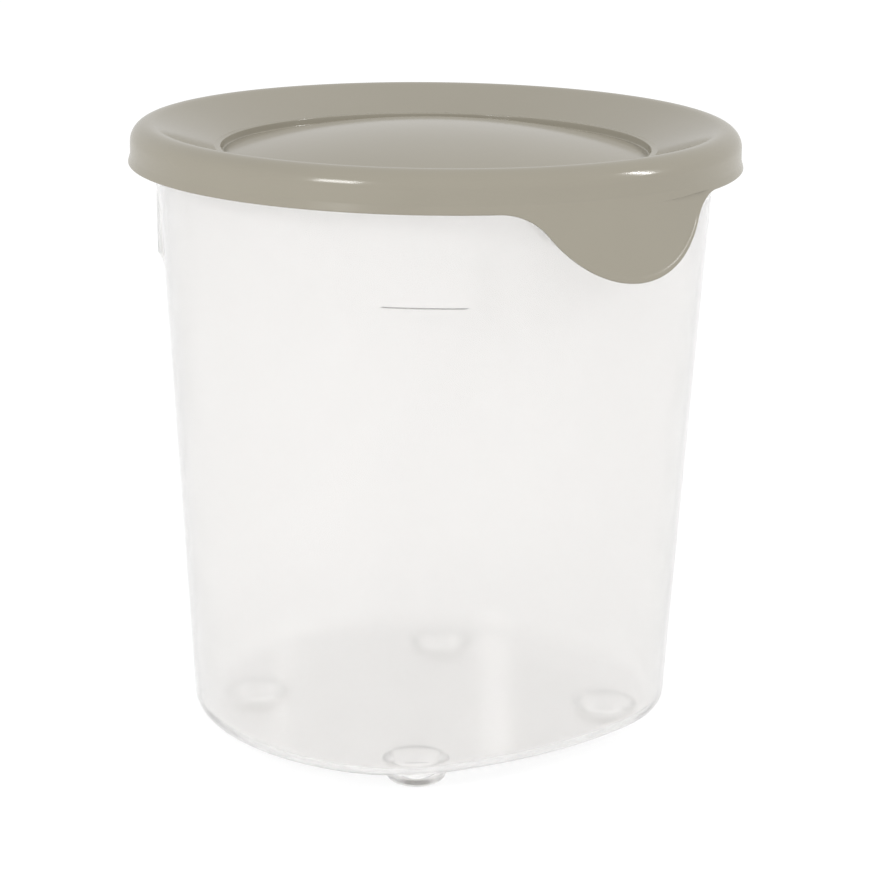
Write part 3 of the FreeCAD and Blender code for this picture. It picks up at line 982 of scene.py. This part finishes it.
@dataclass
class Studio:
    """A white room: a pale floor that keeps the keeper's shadow, even light from all round, and soft lamps.

    Args:
        floor_size: Width of the floor in metres.
        floor_colour: Colour of the floor as a light reflector.
        floor_glow: Light that the floor gives off where it shows.
        floor_share: Share of the light on it that it adds where it shows, which leaves the shadow.
        ambient: Level of the even light.
        bounces: How often a ray may turn in the tub's walls.
        gloss_bounces: How often a ray may be mirrored.
        aim: Point that the lamps face, in metres.
        lamps: The lamps.
    """

    floor_size: float = 12.0
    floor_colour: str = "#FFFFFF"
    floor_glow: float = 0.9
    floor_share: float = 0.17
    ambient: float = 0.86
    bounces: int = 32
    gloss_bounces: int = 16
    aim: Vector = field(default_factory=lambda: Vector((0.0, AXIS_Y * MM, 0.1)))
    lamps: tuple[Softbox, ...] = (
        Softbox("key", -73.0, 30.0, 1.6, 0.4, 0.36, 9.0),
        Softbox("fill", 50.0, 30.0, 1.7, 0.14, 0.5, 8.5),
    )

    def seen(self, tree: bpy.types.NodeTree) -> bpy.types.Node:
        """Add nodes that give 1 to rays that show the background: straight, mirrored or let through.

        Args:
            tree: The node tree to add to.

        Returns:
            The last node, whose output is Value.
        """
        path = add_node(tree, "ShaderNodeLightPath")
        mirrored = add_node(tree, "ShaderNodeMath", {"operation": "MAXIMUM"})
        tree.links.new(path.outputs["Is Camera Ray"], mirrored.inputs[0])
        tree.links.new(path.outputs["Is Glossy Ray"], mirrored.inputs[1])
        passed = add_node(tree, "ShaderNodeMath", {"operation": "MAXIMUM"})
        tree.links.new(mirrored.outputs["Value"], passed.inputs[0])
        tree.links.new(path.outputs["Is Transmission Ray"], passed.inputs[1])
        return passed

    def build_world(self) -> None:
        """Make the world: white where it shows, and an even, plain light on everything else."""
        world = bpy.data.worlds.new("white_room")
        world.use_nodes = True
        tree = world.node_tree
        tree.nodes.clear()
        seen = self.seen(tree)
        level = add_node(tree, "ShaderNodeMapRange", {"To Min": self.ambient, "To Max": 1.0},
                         {"Value": (seen, "Value")})
        glow = add_node(tree, "ShaderNodeBackground", {"Color": (1, 1, 1, 1)}, {"Strength": (level, "Result")})
        add_node(tree, "ShaderNodeOutputWorld", {}, {"Surface": (glow, "Background")})
        bpy.context.scene.world = world

    def build_floor(self) -> bpy.types.Object:
        """Make the floor: a white sheet that glows where it shows, so that part of the shadow is left.

        Returns:
            The floor.
        """
        half = self.floor_size / 2
        mesh = bpy.data.meshes.new("floor")
        corners = [(-half, -half, 0), (half, -half, 0), (half, half, 0), (-half, half, 0)]
        mesh.from_pydata(corners, [], [(0, 1, 2, 3)])
        floor = bpy.data.objects.new("floor", mesh)
        bpy.context.scene.collection.objects.link(floor)
        material = new_material("white_paper")
        tree = material.node_tree
        seen = self.seen(tree)
        paper = add_node(tree, "ShaderNodeBsdfDiffuse", {"Color": linear(self.floor_colour)})
        dim = add_node(tree, "ShaderNodeBsdfDiffuse", {"Color": (self.floor_share,) * 3 + (1.0,)})
        glow = add_node(tree, "ShaderNodeEmission", {"Strength": self.floor_glow})
        shown = add_node(tree, "ShaderNodeAddShader")
        tree.links.new(dim.outputs["BSDF"], shown.inputs[0])
        tree.links.new(glow.outputs["Emission"], shown.inputs[1])
        mix = add_node(tree, "ShaderNodeMixShader", {}, {"Fac": (seen, "Value")})
        tree.links.new(paper.outputs["BSDF"], mix.inputs[1])
        tree.links.new(shown.outputs["Shader"], mix.inputs[2])
        add_node(tree, "ShaderNodeOutputMaterial", {}, {"Surface": (mix, "Shader")})
        mesh.materials.append(material)
        return floor

    def build(self) -> None:
        """Make the world, the floor and the lamps."""
        self.build_world()
        self.build_floor()
        for lamp in self.lamps:
            lamp.build(self.aim)
        scene = bpy.context.scene
        scene.view_settings.view_transform = "Standard"
        scene.cycles.max_bounces = self.bounces
        scene.cycles.transmission_bounces = self.bounces
        scene.cycles.glossy_bounces = self.gloss_bounces


@dataclass
class Viewpoint:
    """The camera, placed about the keeper's axis.

    Args:
        bearing: Direction from the keeper, in degrees from the front.
        distance: Level distance from the keeper's axis, in millimetres.
        height: Height above the floor, in millimetres.
        pitch: How far it looks down, in degrees.
        yaw: How far it looks past the axis, in degrees.
        roll: How far it is tipped sideways, in degrees.
        lens: Focal length in millimetres.
        sensor: Width of the sensor in millimetres.
    """

    bearing: float = -36.0
    distance: float = 864.0
    height: float = 317.8
    pitch: float = 14.69
    yaw: float = 0.0493
    roll: float = 0.675
    lens: float = 120.31
    sensor: float = 36.0

    def build(self) -> bpy.types.Object:
        """Make the camera and use it.

        Returns:
            The camera.
        """
        camera = bpy.data.cameras.new("camera")
        camera.lens = self.lens
        camera.sensor_width = self.sensor
        turn = math.radians(self.bearing)
        heading = math.radians(self.bearing - self.yaw)
        dip, tilt = math.radians(self.pitch), math.radians(self.roll)
        level = Vector((-math.sin(heading), math.cos(heading), 0)) * math.cos(dip)
        ahead = level - Vector((0, 0, math.sin(dip)))
        right = ahead.cross(Vector((0, 0, 1))).normalized()
        up = right.cross(ahead)
        tipped_right = right * math.cos(tilt) + up * math.sin(tilt)
        tipped_up = up * math.cos(tilt) - right * math.sin(tilt)
        matrix = Matrix((tipped_right, tipped_up, -ahead)).transposed().to_4x4()
        place = Vector((math.sin(turn) * self.distance, AXIS_Y - math.cos(turn) * self.distance, self.height))
        matrix.translation = place * MM
        holder = bpy.data.objects.new("camera", camera)
        holder.matrix_world = matrix
        bpy.context.scene.collection.objects.link(holder)
        bpy.context.scene.camera = holder
        return holder


def main() -> None:
    """Build the keeper, the room and the camera."""
    logging.basicConfig(level=logging.INFO, format="%(name)s: %(message)s")
    Viewpoint().build()
    Studio().build()
    for part in (Tub(), Lid()):
        piece = part.build()


if __name__ == "__main__":
    main()
